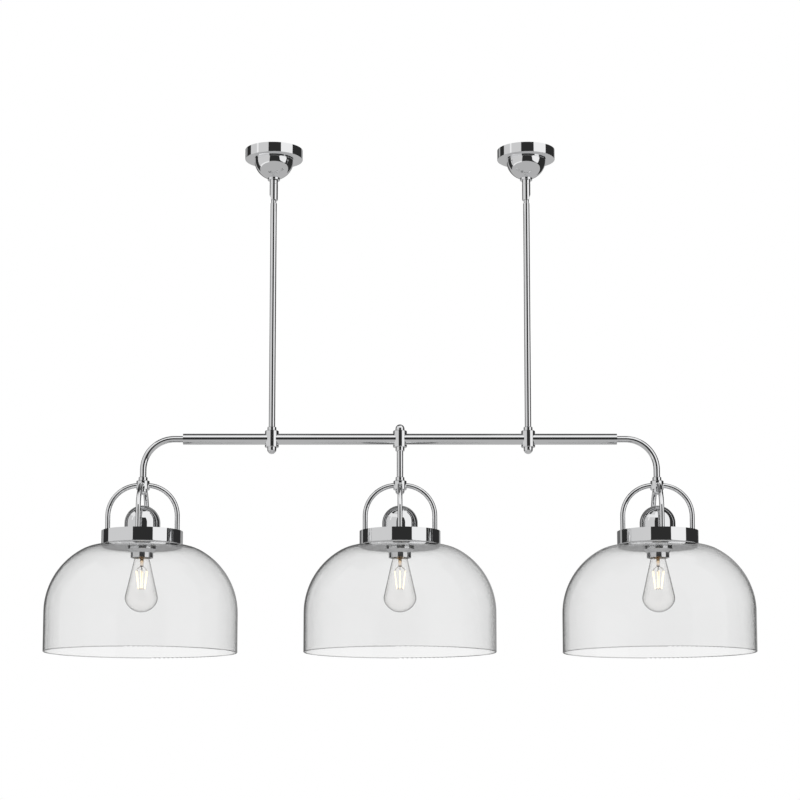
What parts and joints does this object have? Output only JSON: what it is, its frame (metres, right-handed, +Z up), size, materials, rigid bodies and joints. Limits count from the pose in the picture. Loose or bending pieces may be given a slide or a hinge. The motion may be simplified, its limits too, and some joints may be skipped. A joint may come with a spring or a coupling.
{
  "type": "linear island pendant",
  "caption": "Linear island pendant: rods from swivelling canopies carry a horizontal bar with bell-shaped clear glass lamps on four-armed yokes.",
  "frame": {"origin": "on the ceiling plane, midway between the two canopies", "axes": "+X along the bar to the viewer's right, -Y towards the viewer, +Z up"},
  "size_m": [1.3938, 0.3778, 1.0131],
  "materials": {
    "chrome": "polished",
    "zinc_steel": "zinc plated",
    "brass": "bare",
    "nickel": "nickel plated",
    "porcelain": "glazed",
    "seal": "translucent",
    "clear_glass": "clear",
    "bulb_glass": "clear",
    "filament": "warm, lit"
  },
  "bodies": {
    "frame": {"bar_end_bushings": "chrome", "cross_fitting_center": "chrome", "cross_fitting_left": "chrome", "cross_fitting_right": "chrome", "drop_tube": "chrome", "end_arm_left": "chrome", "end_arm_right": "chrome", "finial_caps": "chrome", "fitter_pan_center": "chrome", "fitter_pan_left": "chrome", "fitter_pan_right": "chrome", "fitter_plates": "chrome", "glass_shade_center": "clear_glass", "glass_shade_left": "clear_glass", "glass_shade_right": "clear_glass", "lamp_hubs": "chrome", "lock_nuts": "zinc_steel", "main_bar": "chrome", "retainer_cups": "chrome", "rod_lower_left": "chrome", "rod_lower_right": "chrome", "rod_upper_left": "chrome", "rod_upper_right": "chrome", "shade_gaskets": "seal", "socket_contacts": "brass", "socket_dome_center": "chrome", "socket_dome_left": "chrome", "socket_dome_right": "chrome", "socket_insulators": "porcelain", "socket_shells": "brass", "swivel_knuckle_left": "chrome", "swivel_knuckle_right": "chrome", "thread_nipples": "zinc_steel", "yoke_arms_center": "chrome", "yoke_arms_left": "chrome", "yoke_arms_right": "chrome"},
    "canopy_left": {"canopy_pan_left": "chrome", "canopy_dome_left": "chrome", "mounting_bar_left": "zinc_steel", "canopy_nipple_left": "zinc_steel", "collar_ring_left": "chrome", "sleeve_cap_left": "chrome", "swivel_sleeve_left": "chrome"},
    "canopy_right": {"canopy_pan_right": "chrome", "canopy_dome_right": "chrome", "mounting_bar_right": "zinc_steel", "canopy_nipple_right": "zinc_steel", "collar_ring_right": "chrome", "sleeve_cap_right": "chrome", "swivel_sleeve_right": "chrome"},
    "bulb_left": {"bulb_glass_left": "bulb_glass", "bulb_base_left": "nickel", "bulb_filaments_left": "filament"},
    "bulb_center": {"bulb_glass_center": "bulb_glass", "bulb_base_center": "nickel", "bulb_filaments_center": "filament"},
    "bulb_right": {"bulb_glass_right": "bulb_glass", "bulb_base_right": "nickel", "bulb_filaments_right": "filament"}
  },
  "joints": [
    {"name": "canopy_left_tilt", "type": "hinge", "parent": "frame", "child": "canopy_left", "pos_m": [-0.254, 0, -0.0934], "axis": [0, -1, 0], "range_deg": [0, 45]},
    {"name": "canopy_right_tilt", "type": "hinge", "parent": "frame", "child": "canopy_right", "pos_m": [0.254, 0, -0.0934], "axis": [0, 1, 0], "range_deg": [0, 45]},
    {"name": "bulb_left_out", "type": "slide", "parent": "frame", "child": "bulb_left", "axis": [0, 0, -1], "range_m": [0, 0.23]},
    {"name": "bulb_center_out", "type": "slide", "parent": "frame", "child": "bulb_center", "axis": [0, 0, -1], "range_m": [0, 0.23]},
    {"name": "bulb_right_out", "type": "slide", "parent": "frame", "child": "bulb_right", "axis": [0, 0, -1], "range_m": [0, 0.23]}
  ]
}
